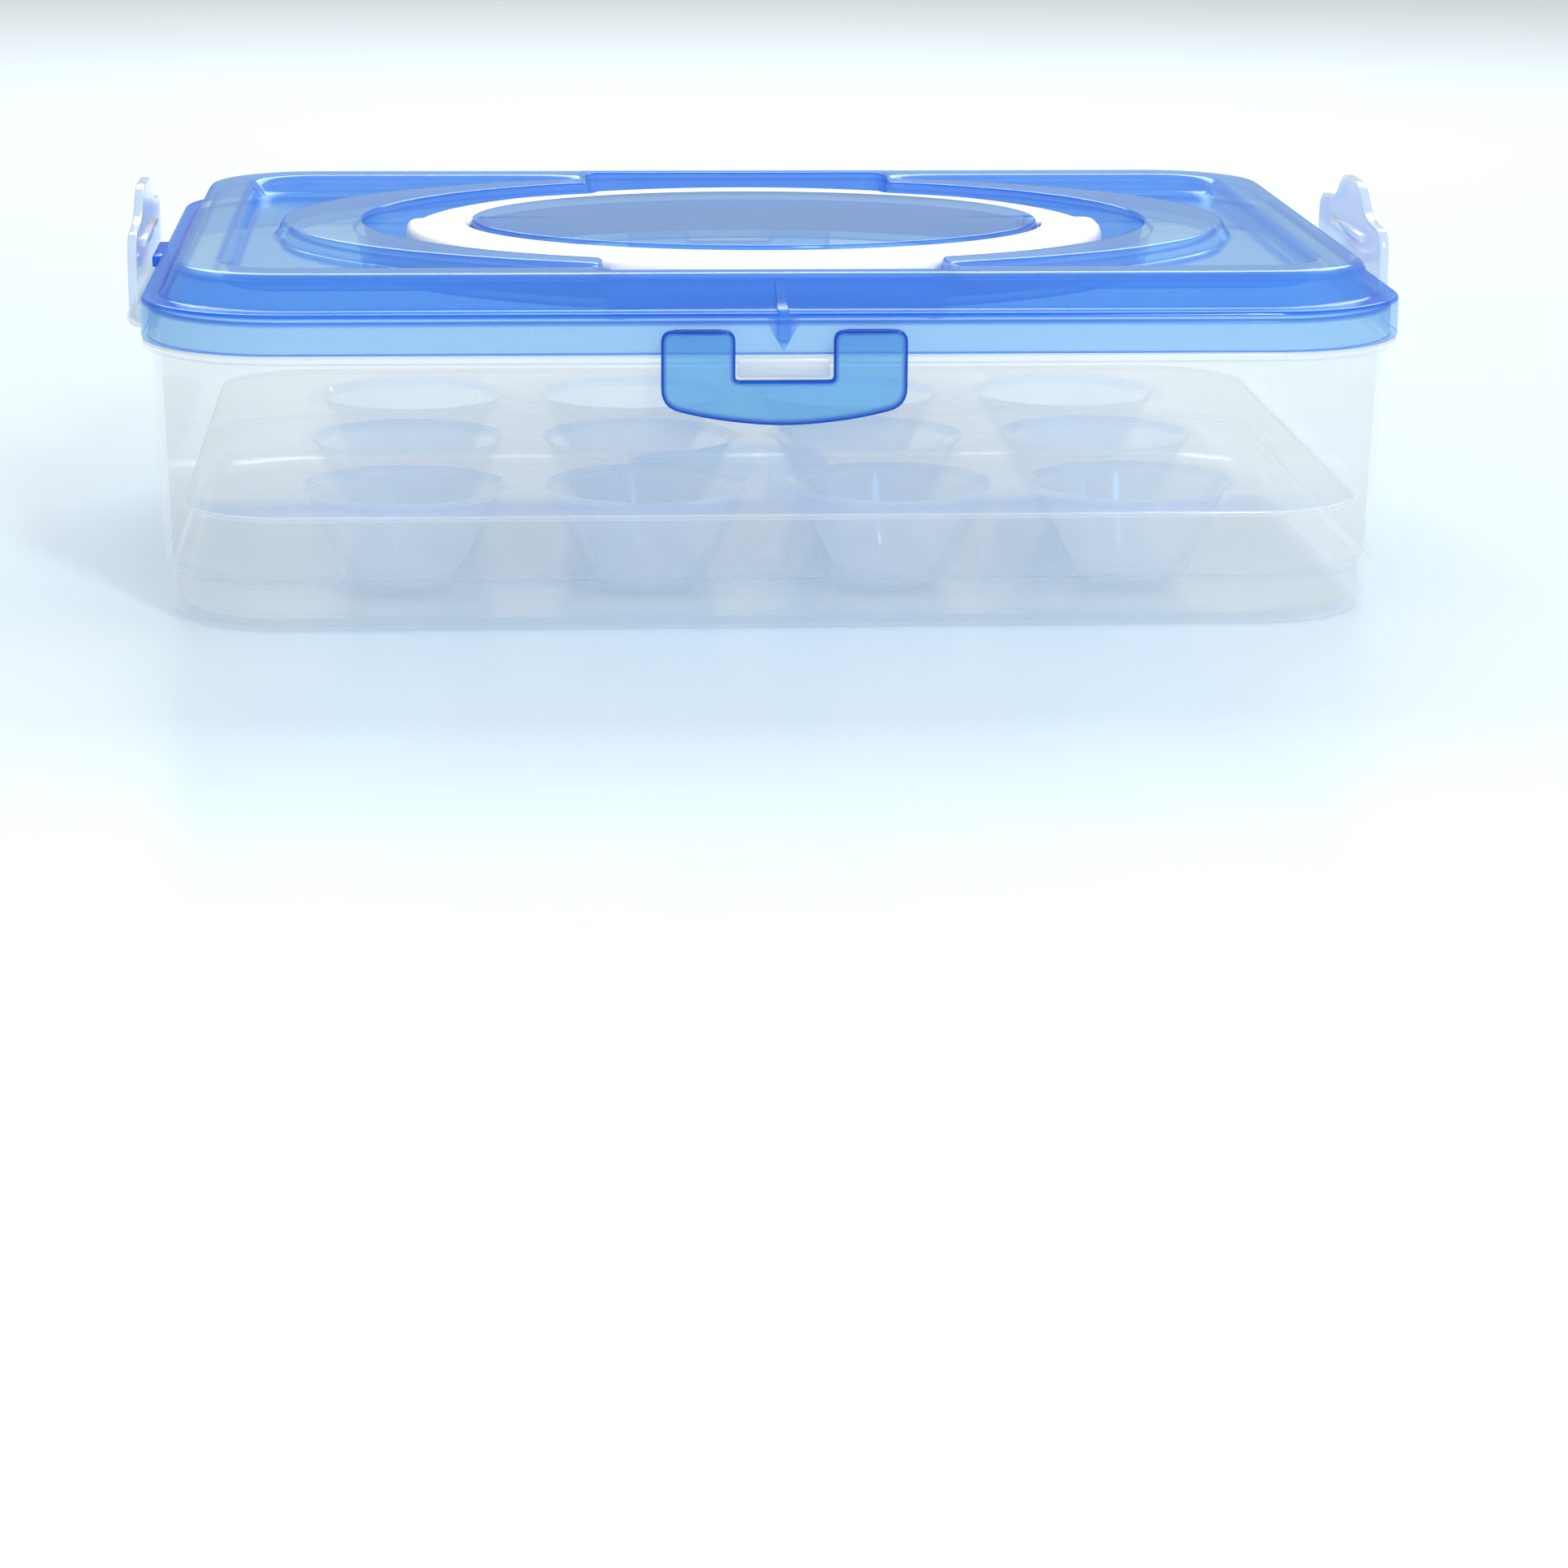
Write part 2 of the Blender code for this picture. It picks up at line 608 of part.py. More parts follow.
def make_side_latch(name, side, parts, helpers, look):
    """A tall flap that stands beside the lid, with a stub pin at each lower corner."""
    axis = (side * SIDE_AXIS[0], 0.0, SIDE_AXIS[1])
    half = [
        (SIDE_HALF, SIDE_AXIS[1] - 0.0012, 0.0),
        (SIDE_HALF, SIDE_SHOULDER, 0.0050),
        (FINGER_ROOT, SIDE_SHOULDER + 0.0010, 0.0060),
        (FINGER_HALF, SIDE_TOP, 0.0045),
    ]
    outline = rounded_corners(half + [(-y, z, radius) for y, z, radius in reversed(half)])
    bm = bmesh.new()
    widths = [side * x - axis[0] for x in (SIDE_INNER_X, SIDE_INNER_X + SIDE_THICK)]
    plate(bm, *[[(x, y, z - axis[2]) for y, z in outline] for x in widths])
    latch = add_object(name, mesh_of(name, bm), parts, look)
    latch.location = axis
    barrel = bmesh.new()
    cylinder_y(barrel, 0.0019, -SIDE_HALF + 0.0002, SIDE_HALF - 0.0002, axis[0], axis[2], segments=16)
    boolean(latch, "UNION", barrel, helpers)
    catch = bmesh.new()
    inner, low, high, half = CATCH
    x0, x1 = sorted((side * inner, side * (SIDE_INNER_X + 0.0008)))
    box(catch, (x0, -half, low), (x1, half, high))
    boolean(latch, "UNION", catch, helpers)
    pins = bmesh.new()
    reach = SIDE_HALF + EAR_CLEAR + 0.0014
    cylinder_y(pins, SIDE_PIN, -reach, reach, axis[0], axis[2], segments=10)
    boolean(latch, "UNION", pins, helpers)
    return latch


def main():
    clear_scene()
    parts = new_collection("egg_carrier")
    helpers = new_collection("cutters")
    clear = material("clear_plastic", (0.78, 0.84, 0.90), 0.14, alpha=0.45, transmission=0.6)
    cups_clear = material("tray_plastic", (0.80, 0.87, 0.94), 0.18, alpha=0.55, transmission=0.5)
    blue = material("blue_plastic", (0.13, 0.40, 0.86), 0.10, alpha=0.70, transmission=0.5)
    latch_blue = material("latch_plastic", (0.20, 0.47, 0.84), 0.12, alpha=0.75, transmission=0.4)
    side_clear = material("side_latch_plastic", (0.76, 0.84, 0.93), 0.15, alpha=0.50, transmission=0.5)
    white = material("white_plastic", (0.90, 0.91, 0.93), 0.30)
    make_body(parts, helpers, clear)
    make_tray(parts, helpers, cups_clear)
    make_lid(parts, helpers, blue)
    make_handle(parts, helpers, white)
    make_rest(parts, white)
    make_hanging_latch("front_latch", -1, parts, helpers, latch_blue)
    make_hanging_latch("rear_latch", 1, parts, helpers, latch_blue)
    make_side_latch("left_latch", -1, parts, helpers, side_clear)
    make_side_latch("right_latch", 1, parts, helpers, side_clear)


main()
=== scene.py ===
"""Looks of the egg carrier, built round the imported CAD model: fine meshes, plastics, floor, light, camera."""

from math import asin, atan2, cos, pi, radians, sin, sqrt

import bmesh
import bpy
from mathutils import Matrix, Vector, kdtree


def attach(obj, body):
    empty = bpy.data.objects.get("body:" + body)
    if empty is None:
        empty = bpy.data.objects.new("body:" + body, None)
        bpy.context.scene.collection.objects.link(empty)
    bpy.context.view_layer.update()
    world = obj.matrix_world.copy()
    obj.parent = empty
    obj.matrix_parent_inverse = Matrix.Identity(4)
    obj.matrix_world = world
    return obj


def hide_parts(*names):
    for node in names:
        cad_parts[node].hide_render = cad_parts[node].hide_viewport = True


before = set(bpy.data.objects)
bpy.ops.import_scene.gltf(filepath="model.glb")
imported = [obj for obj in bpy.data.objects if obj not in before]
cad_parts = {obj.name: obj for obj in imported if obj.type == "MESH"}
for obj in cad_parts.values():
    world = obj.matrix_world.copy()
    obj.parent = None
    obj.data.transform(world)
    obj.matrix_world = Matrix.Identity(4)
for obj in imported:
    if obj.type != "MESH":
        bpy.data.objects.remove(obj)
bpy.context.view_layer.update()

# ---- dimensions in metres, as in the CAD model --------------------------------------------------
LENGTH, DEPTH = 0.250, 0.188  # round the lid's skirt
CORNER = 0.028
SKIRT = (LENGTH / 2, DEPTH / 2, CORNER)
SKIRT_BOTTOM, SKIRT_TOP, TOP = 0.0554, 0.0634, 0.0694
GAP = 0.0003
LID_WALL, BODY_WALL, TRAY_WALL = 0.0016, 0.0015, 0.0012
RAISED = (0.1185, 0.0812, 0.0220)  # half length, half depth, corner radius
VALLEY_DEPTH = 0.0035
RING, CHANNEL, PLATEAU = (0.1000, 0.0716), (0.0830, 0.0645), (0.0603, 0.0435)  # the ovals' semi-axes
CHANNEL_FLOOR = 0.0605
# the channel's wider part, front and rear: fully wide up to this x, back to the oval at this x; its y
NOTCH_FLAT, NOTCH_EDGE, NOTCH_REACH = 0.0255, 0.0350, 0.0765
HANDLE_OUTER = (0.0740, 0.0675)  # semi-axes
HANDLE_TOP, HANDLE_BOTTOM = 0.0687, 0.0617
CLEAR_OUT, CLEAR_IN = 0.0016, 0.0010  # from the handle to the channel's edge and to the plateau
PIVOT_Z = 0.0682
PIN_RADIUS, SLOT_HALF, SLOT_FLOOR = 0.0010, 0.0014, 0.0668
PIVOT_HALF, PIVOT_LOW = 0.0032, 0.0630  # the lid's block that the handle's pin turns in
REST_TOP = 0.0674
BLOCK_BACK, REST_START = 0.0045, 0.0080  # how far past the pivot the handle ends; where the rest starts
BODY_TOP = 0.0614
FLANGE_TOP = SKIRT_BOTTOM - GAP
STEP_Z = 0.0106
FOOT_INSET, STEP_INSET = 0.0042, 0.0032
FOOT_RADIUS = 0.0100
ROOT = 0.0012  # how far the hooks and ears reach into the flange
HOOK_HALF, HOOK_LOW = 0.0089, 0.0513
PITCH_X, PITCH_Y = 0.0495, 0.0535
COLUMNS, ROWS = 4, 3
PLATE_TOP = 0.0225
TRAY_INSET = 0.0072
CUP_RIM, CUP_FOOT = 0.0200, 0.0110
RIB = [  # distance from the middle line, height
    (0.0830, 0.0672),
    (0.0836, 0.0683),
    (0.0903, 0.0640),
    (0.0945, 0.0640),
    (0.0945, 0.0581),
    (0.0932, 0.0581),
    (0.0932, 0.0626),
    (0.0895, 0.0626),
]
RIB_HALF = 0.0010
LATCH_HALF, LATCH_NOTCH_HALF = 0.02375, 0.0095
LATCH_INNER_Y, LATCH_THICK = 0.0960, 0.0020
LATCH_AXIS_Z = 0.0600
LATCH_TOP, LATCH_NOTCH_Z, LATCH_SIDE_Z, LATCH_TIP_Z = 0.0606, 0.0509, 0.0476, 0.0422
LATCH_BEVEL, WEB_HALF = 0.00035, 0.0004
SIDE_HALF = 0.0340
SIDE_AXIS = (0.1278, 0.0545)  # x, z
SIDE_INNER_X, SIDE_THICK = 0.1281, 0.0019
SIDE_SHOULDER, SIDE_TOP = 0.0703, 0.0775
FINGER_HALF, FINGER_ROOT = 0.0090, 0.0170
SIDE_BEVEL = 0.0004
CATCH_X, CATCH_LOW, CATCH_HIGH, CATCH_HALF = 0.1272, 0.0655, 0.0675, 0.0160
TAB_HALF, TAB_REACH, TAB_LOW, TAB_HIGH = 0.01075, 0.1268, 0.0606, 0.0630
EAR_THICK, EAR_CLEAR = 0.0026, 0.0006
EAR_RADIUS = 0.00237  # a little less than the CAD's, since this arc is finer
SIDE_PIN, SIDE_HOLE, BARREL_RADIUS = 0.0010, 0.0013, 0.00185
HOLE_BEFORE, HOLE_DEPTH = 0.0010, 0.0019  # from the ear's inner face
PIN_PAST = 0.0014  # how far the pin goes into the ear

# ---- fineness of the meshes ---------------------------------------------------------------------
FILLET_STEPS, LOOP_STEPS = 4, 6
FILLET_SHARE, LOOP_SHARE = 0.45, 0.48  # most of a side that one rounded corner takes
STRAIGHT_STEPS = 10
CYLINDER_STEPS, CUP_STEPS, RING_STEPS, EAR_STEPS, END_STEPS = 32, 64, 96, 24, 8
BEVEL_STEPS, BEVEL_ANGLE = 3, 40  # angles in degrees
SHARP_ANGLE, ROUND_SHARP_ANGLE = 35, 50
LEAST_STEP = 0.00025  # between neighbouring corners of the lid's underside
# The same weights also carry a painted highlight: on the tray's cups they paint the rims and inner walls paler
# and more solid, where light falls into the cups.
EDGE_AND_PAINTED_LIGHT = "edge"  # mesh attribute: 1 where the plastic is seen edge-on, which makes its colour deeper; also painted highlight


# ---- camera and surfaces ------------------------------------------------------------------------
CAMERA_PLACE = (-0.0565, -0.9176, 0.1922)
CAMERA_TURN = (15.09, 3.97, 0.397)  # degrees down, to the right, and rolled
CAMERA_LENS, CAMERA_SENSOR = 99.1, 36.0
PLASTIC_IOR, GLOSS_IOR = 1.49, 1.40
BUMP_DEPTH = 0.0002


# ---- plan outlines ------------------------------------------------------------------------------
def spread(first, last, steps):
    return [first + (last - first) * i / steps for i in range(steps)]


def plan_angles():
    half_x, half_y = LENGTH / 2, DEPTH / 2
    corner_from = atan2(half_y - CORNER, half_x)
    corner_to = atan2(half_y, half_x - CORNER)
    notch_from, notch_to = radians(59), radians(70)
    quarter = (
        spread(0.0, corner_from, 14)
        + spread(corner_from, corner_to, 20)
        + spread(corner_to, notch_from, 8)
        + spread(notch_from, notch_to, 14)
        + spread(notch_to, pi / 2, 9)
    )
    half = quarter + [pi - a for a in [pi / 2] + quarter[:0:-1]]
    return half + [a + pi for a in half]


def rounded_reach(half_x, half_y, radius, angle):
    c, s = abs(cos(angle)), abs(sin(angle))
    core_x, core_y = half_x - radius, half_y - radius
    if c * half_y < s * core_x:
        return half_y / s
    if s * half_x < c * core_y:
        return half_x / c
    along = c * core_x + s * core_y
    return along + sqrt(along * along - core_x**2 - core_y**2 + radius**2)


def oval_reach(semi_x, semi_y, angle):
    return 1 / sqrt((cos(angle) / semi_x) ** 2 + (sin(angle) / semi_y) ** 2)


def smooth_step(low, high, value):
    t = min(1.0, max(0.0, (value - low) / (high - low)))
    return t * t * (3 - 2 * t)


def inset(size, amount):
    return tuple(value - amount for value in size)


def span(side, first, last):
    return sorted((side * first, side * last))


def rounded_outline(half_x, half_y, radius, steps):
    """A rounded rectangle as (x, y) points, with points along its straight sides too."""
    corners = []
    for turn, (sx, sy) in enumerate(((1, 1), (-1, 1), (-1, -1), (1, -1))):
        arc = []
        for i in range(steps + 1):
            a = (turn + i / steps) * pi / 2
            arc.append((sx * (half_x - radius) + radius * cos(a), sy * (half_y - radius) + radius * sin(a)))
        corners.append(arc)
    points = []
    for arc, following in zip(corners, corners[1:] + corners[:1]):
        points += arc
        (x0, y0), (x1, y1) = arc[-1], following[0]
        for i in range(1, STRAIGHT_STEPS):
            points.append((x0 + (x1 - x0) * i / STRAIGHT_STEPS, y0 + (y1 - y0) * i / STRAIGHT_STEPS))
    return points


def outline_rows(line, size, least_radius, steps):
    """Sweeps a line of (inset, height) round a rounded rectangle: rows of points, rows of weights."""
    rows, weights = [], []
    for (amount, z), weight in line:
        half_x, half_y, radius = inset(size, amount)
        outline = rounded_outline(half_x, half_y, max(radius, least_radius), steps)
        rows.append([(x, y, z) for x, y in outline])
        weights.append([weight] * len(outline))
    return rows, weights


# ---- mesh helpers -------------------------------------------------------------------------------
def bend(start, here, end, t):
    return start * (1 - t) ** 2 + here * 2 * t * (1 - t) + end * t * t


def fillet(points, radii, weights, steps=FILLET_STEPS, spans=None):
    """Rounds the inner corners of an open line; gives (point, weight).

    A corner's own weight is at its middle, and spans gives the weights between corners.
    """
    spans = spans or [0.0] * len(points)
    made = [(Vector(points[0]), spans[0])]
    for k in range(1, len(points) - 1):
        before, here, after = (Vector(points[n]) for n in (k - 1, k, k + 1))
        radius, weight = radii[k], weights[k]
        back, ahead = before - here, after - here
        start = here + back.normalized() * min(radius, FILLET_SHARE * back.length)
        end = here + ahead.normalized() * min(radius, FILLET_SHARE * ahead.length)
        for i in range(steps + 1):
            t = i / steps
            between = spans[k - 1] * (1 - t) + spans[k] * t
            made.append((bend(start, here, end, t), max(between, weight * sin(pi * t))))
    made.append((Vector(points[-1]), spans[-2]))
    return made


def edge_and_painted_light_layer(bm):
    return bm.verts.layers.float.get(EDGE_AND_PAINTED_LIGHT) or bm.verts.layers.float.new(EDGE_AND_PAINTED_LIGHT)


def grid(bm, rows, edge_and_painted_light_rows):
    """Quads between closed rows of points, capped at both ends; edge_and_painted_light_rows gives each point's weight."""
    layer = edge_and_painted_light_layer(bm)
    rings = []
    for row, weights in zip(rows, edge_and_painted_light_rows):
        ring = []
        for point, weight in zip(row, weights):
            vert = bm.verts.new(point)
            vert[layer] = weight
            ring.append(vert)
        rings.append(ring)
    count = len(rings[0])
    faces = []
    for low, high in zip(rings, rings[1:]):
        for i in range(count):
            j = (i + 1) % count
            faces.append(bm.faces.new((low[i], low[j], high[j], high[i])))
    for ring in (rings[0], rings[-1]):
        centre = bm.verts.new(tuple(sum(v.co[k] for v in ring) / count for k in range(3)))
        for i in range(count):
            faces.append(bm.faces.new((ring[i], ring[(i + 1) % count], centre)))
    bmesh.ops.recalc_face_normals(bm, faces=faces)


def box(bm, low, high, rounding, weight):
    layer = edge_and_painted_light_layer(bm)
    verts = bmesh.ops.create_cube(bm, size=1.0)["verts"]
    for v in verts:
        for k in range(3):
            v.co[k] = low[k] + (v.co[k] + 0.5) * (high[k] - low[k])
    edges = list({e for v in verts for e in v.link_edges})
    made = bmesh.ops.bevel(bm, geom=edges, offset=rounding, segments=2, profile=0.5, affect="EDGES")
    for v in made["verts"]:
        v[layer] = weight


def cylinder(bm, radius, ends, centre, axis):
    """A cylinder along x or y between two ends; centre gives its other two coordinates."""
    verts = bmesh.ops.create_cone(
        bm,
        cap_ends=True,
        cap_tris=False,
        segments=CYLINDER_STEPS,
        radius1=radius,
        radius2=radius,
        depth=1.0,
    )["verts"]
    for v in verts:
        across, up, along = v.co
        if axis == "x":
            v.co = (ends[0] + (along + 0.5) * (ends[1] - ends[0]), centre[0] + across, centre[1] + up)
        else:
            v.co = (centre[0] + across, ends[0] + (0.5 - along) * (ends[1] - ends[0]), centre[1] + up)


def plate(bm, near, far, weight=1.0):
    """A flat plate between two like outlines: its rim is seen edge-on."""
    layer = edge_and_painted_light_layer(bm)
    rings = [[bm.verts.new(point) for point in outline] for outline in (near, far)]
    for ring in rings:
        for v in ring:
            v[layer] = weight
    count = len(near)
    faces = [bm.faces.new(rings[0]), bm.faces.new(rings[1])]
    for i in range(count):
        j = (i + 1) % count
        faces.append(bm.faces.new((rings[0][i], rings[0][j], rings[1][j], rings[1][i])))
    bmesh.ops.recalc_face_normals(bm, faces=faces)


def calm_faces(obj, width):
    """Insets the broad flat faces, so that only their rims count as edge-on."""
    bm = bmesh.new()
    bm.from_mesh(obj.data)
    layer = bm.verts.layers.float.get(EDGE_AND_PAINTED_LIGHT)
    broad = sorted(bm.faces, key=lambda f: f.calc_area())[-2:]
    for amount, weight in ((width, 0.35), (width * 1.4, 0.0)):
        bmesh.ops.inset_individual(bm, faces=broad, thickness=amount, use_even_offset=True)
        for face in broad:
            for v in face.verts:
                v[layer] = weight
    bm.to_mesh(obj.data)
    bm.free()


def shade(mesh, angle):
    mesh.shade_smooth()
    mesh.set_sharp_from_angle(angle=radians(angle))


def add_piece(name, bm, angle=SHARP_ANGLE):
    mesh = bpy.data.meshes.new(name)
    bm.to_mesh(mesh)
    bm.free()
    obj = bpy.data.objects.new(name, mesh)
    bpy.context.scene.collection.objects.link(obj)
    shade(mesh, angle)
    return obj


def apply_modifiers(obj):
    bpy.context.view_layer.update()
    graph = bpy.context.evaluated_depsgraph_get()
    mesh = bpy.data.meshes.new_from_object(obj.evaluated_get(graph))
    obj.modifiers.clear()
    old = obj.data
    obj.data = mesh
    bpy.data.meshes.remove(old)
    mesh.name = obj.name
    shade(mesh, SHARP_ANGLE)


def edge_and_painted_light_values(mesh):
    return (mesh.attributes.get(EDGE_AND_PAINTED_LIGHT) or mesh.attributes.new(EDGE_AND_PAINTED_LIGHT, "FLOAT", "POINT")).data


def boolean(obj, operation, bm):
    """Joins or cuts; each point of the result keeps the edge and painted-light weight of the point it came
    from.
    """
    helper = add_piece("helper", bm)
    weights = []
    nearest = kdtree.KDTree(len(obj.data.vertices) + len(helper.data.vertices))
    for mesh in (obj.data, helper.data):
        for vertex, value in zip(mesh.vertices, edge_and_painted_light_values(mesh)):
            nearest.insert(vertex.co, len(weights))
            weights.append(value.value)
    nearest.balance()
    cut = obj.modifiers.new("cut", "BOOLEAN")
    cut.operation = operation
    cut.solver = "EXACT"
    cut.object = helper
    apply_modifiers(obj)
    for vertex, value in zip(obj.data.vertices, edge_and_painted_light_values(obj.data)):
        value.value = weights[nearest.find(vertex.co)[1]]
    bpy.data.objects.remove(helper, do_unlink=True)


def bevel(obj, width):
    made = obj.modifiers.new("bevel", "BEVEL")
    made.width = width
    made.segments = BEVEL_STEPS
    made.limit_method = "ANGLE"
    made.angle_limit = radians(BEVEL_ANGLE)
    apply_modifiers(obj)


def place(obj, body, node, look):
    obj.data.materials.append(look)
    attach(obj, body)
    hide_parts(node)


# ---- body ---------------------------------------------------------------------------------------
def ear_outline():
    x, z = SIDE_AXIS
    root, top = LENGTH / 2 - ROOT, FLANGE_TOP - GAP
    points = [(root, z - EAR_RADIUS), (root, top)]
    start = pi - asin((top - z) / EAR_RADIUS)
    for i in range(EAR_STEPS + 1):
        turn = start - i / EAR_STEPS * (start + pi / 2)
        points.append((x + EAR_RADIUS * cos(turn), z + EAR_RADIUS * sin(turn)))
    return points


def make_body():
    collar = LID_WALL + 0.0006
    base = FOOT_INSET + FOOT_RADIUS * 0.86
    middle = base + 0.040
    step_inside = STEP_INSET + BODY_WALL + 0.0003
    foot_inside = FOOT_INSET + BODY_WALL + 0.0003
    corners = [  # inset from the skirt, height, fillet, weight
        (middle, 0.0, 0.0, 0.0),
        (base, 0.0, 0.0078, 0.1),
        (FOOT_INSET, 0.0, 0.0098, 0.2),
        (FOOT_INSET, STEP_Z - 0.0006, 0.0004, 0.5),
        (STEP_INSET, STEP_Z, 0.0004, 0.5),
        (0.0021, FLANGE_TOP - 0.0015, 0.0005, 0.5),
        (0.0001, FLANGE_TOP - 0.0015, 0.0004, 0.8),
        (0.0001, FLANGE_TOP, 0.0004, 0.8),
        (collar, FLANGE_TOP, 0.0004, 0.4),
        (collar, BODY_TOP, 0.0006, 0.8),
        (collar + BODY_WALL, BODY_TOP, 0.0006, 0.8),
        (collar + BODY_WALL, FLANGE_TOP, 0.0010, 0.2),
        (step_inside, STEP_Z + 0.0004, 0.0010, 0.2),
        (foot_inside, STEP_Z - 0.0016, 0.0010, 0.2),
        (foot_inside, BODY_WALL, 0.0070, 0.2),
        (middle, BODY_WALL, 0.0, 0.0),
    ]
    line = fillet([c[:2] for c in corners], [c[2] for c in corners], [c[3] for c in corners], 8)
    bm = bmesh.new()
    grid(bm, *outline_rows(line, SKIRT, 0.004, 16))
    body = add_piece("body_shell", bm)
    hooks = bmesh.new()
    for side in (-1, 1):
        y0, y1 = span(side, LATCH_INNER_Y - GAP, DEPTH / 2 - ROOT)
        box(hooks, (-HOOK_HALF, y0, HOOK_LOW), (HOOK_HALF, y1, FLANGE_TOP - 0.0002), 0.0004, 0.4)
    boolean(body, "UNION", hooks)
    for sx in (-1, 1):
        ears = bmesh.new()
        holes = bmesh.new()
        outline = [(sx * x, z) for x, z in ear_outline()]
        for sy in (-1, 1):
            near, far = sy * (SIDE_HALF + EAR_CLEAR), sy * (SIDE_HALF + EAR_CLEAR + EAR_THICK)
            plate(ears, *[[(x, y, z) for x, z in outline] for y in (near, far)], weight=0.5)
            ends = sorted((near - sy * HOLE_BEFORE, near + sy * HOLE_DEPTH))
            cylinder(holes, SIDE_HOLE, ends, (sx * SIDE_AXIS[0], SIDE_AXIS[1]), "y")
        boolean(body, "UNION", ears)
        boolean(body, "DIFFERENCE", holes)
    return body


# ---- tray ---------------------------------------------------------------------------------------
def cup_centres():
    for column in range(COLUMNS):
        for row in range(ROWS):
            yield ((column - (COLUMNS - 1) / 2) * PITCH_X, (row - (ROWS - 1) / 2) * PITCH_Y)


def cups(profile):
    turns = [2 * pi * (i + 0.5) / CUP_STEPS for i in range(CUP_STEPS)]
    bm = bmesh.new()
    for x, y in cup_centres():
        rows = [[(x + r * cos(t), y + r * sin(t), z) for t in turns] for (r, z), _ in profile]
        grid(bm, rows, [[weight] * CUP_STEPS for _, weight in profile])
    return bm


def make_tray():
    width, low, lip = 0.020, PLATE_TOP - TRAY_WALL, 0.0006
    rim = [(width, low), (0.0, low), (0.0, PLATE_TOP), (width, PLATE_TOP)]
    line = fillet(rim, [0, lip, lip, 0], [0, 0.8, 0.8, 0], 6)
    bm = bmesh.new()
    grid(bm, *outline_rows(line, inset(SKIRT, TRAY_INSET), 0.0, 12))
    tray = add_piece("tray_moulding", bm)
    floor, wall = BODY_WALL + GAP, TRAY_WALL
    start, end = 0.003, 0.010  # radii where a cup's profile is closed, below and above
    outside = [
        (start, floor),
        (CUP_FOOT - 0.0018 + wall, floor),
        (CUP_FOOT + wall, floor + 0.0022),
        (CUP_RIM + wall, PLATE_TOP - 0.0002),
        (end, PLATE_TOP - 0.0002),
    ]
    inside = [
        (start, floor + wall),
        (CUP_FOOT - 0.0018, floor + wall),
        (CUP_FOOT + 0.0004, floor + wall + 0.0026),
        (CUP_RIM - 0.0004, PLATE_TOP - 0.0012),
        (CUP_RIM + 0.0010, PLATE_TOP + 0.0002),
        (CUP_RIM + 0.0010, PLATE_TOP + 0.0020),
        (end, PLATE_TOP + 0.0020),
    ]
    boolean(tray, "UNION", cups(fillet(outside, [0, 0.002, 0.002, 0.0, 0], [0, 0.3, 0.3, 0, 0])))
    # Inside the cups the weights rise from 0.1 at the floor to 0.35 on the inner wall and 0.9 at the rim: with
    # the tray's near-white deep colour this paints the rims and inner walls paler and more solid, a painted
    # highlight for the light falling into the cups; at the rim it is partly real edge-on depth.
    radii = [0, 0.002, 0.002, 0.0010, 0.0004, 0, 0]
    weights = [0, 0.3, 0.3, 0.9, 0.9, 0, 0]
    spans = [0.1, 0.2, 0.35, 0.9, 0, 0, 0]
    boolean(tray, "DIFFERENCE", cups(fillet(inside, radii, weights, spans=spans)))
    return tray


# ---- lid ----------------------------------------------------------------------------------------
def channel_edge(angle):
    oval = oval_reach(*CHANNEL, angle)
    notch = NOTCH_REACH / max(abs(sin(angle)), 0.5)
    x = abs(oval * cos(angle))
    return oval + (notch - oval) * (1 - smooth_step(NOTCH_FLAT, NOTCH_EDGE, x))


def in_notch(angle):
    x = abs(channel_edge(angle) * cos(angle))
    facing = abs(sin(angle)) > 0.8
    return (1 - smooth_step(NOTCH_FLAT, NOTCH_EDGE + 0.003, x)) if facing else 0.0


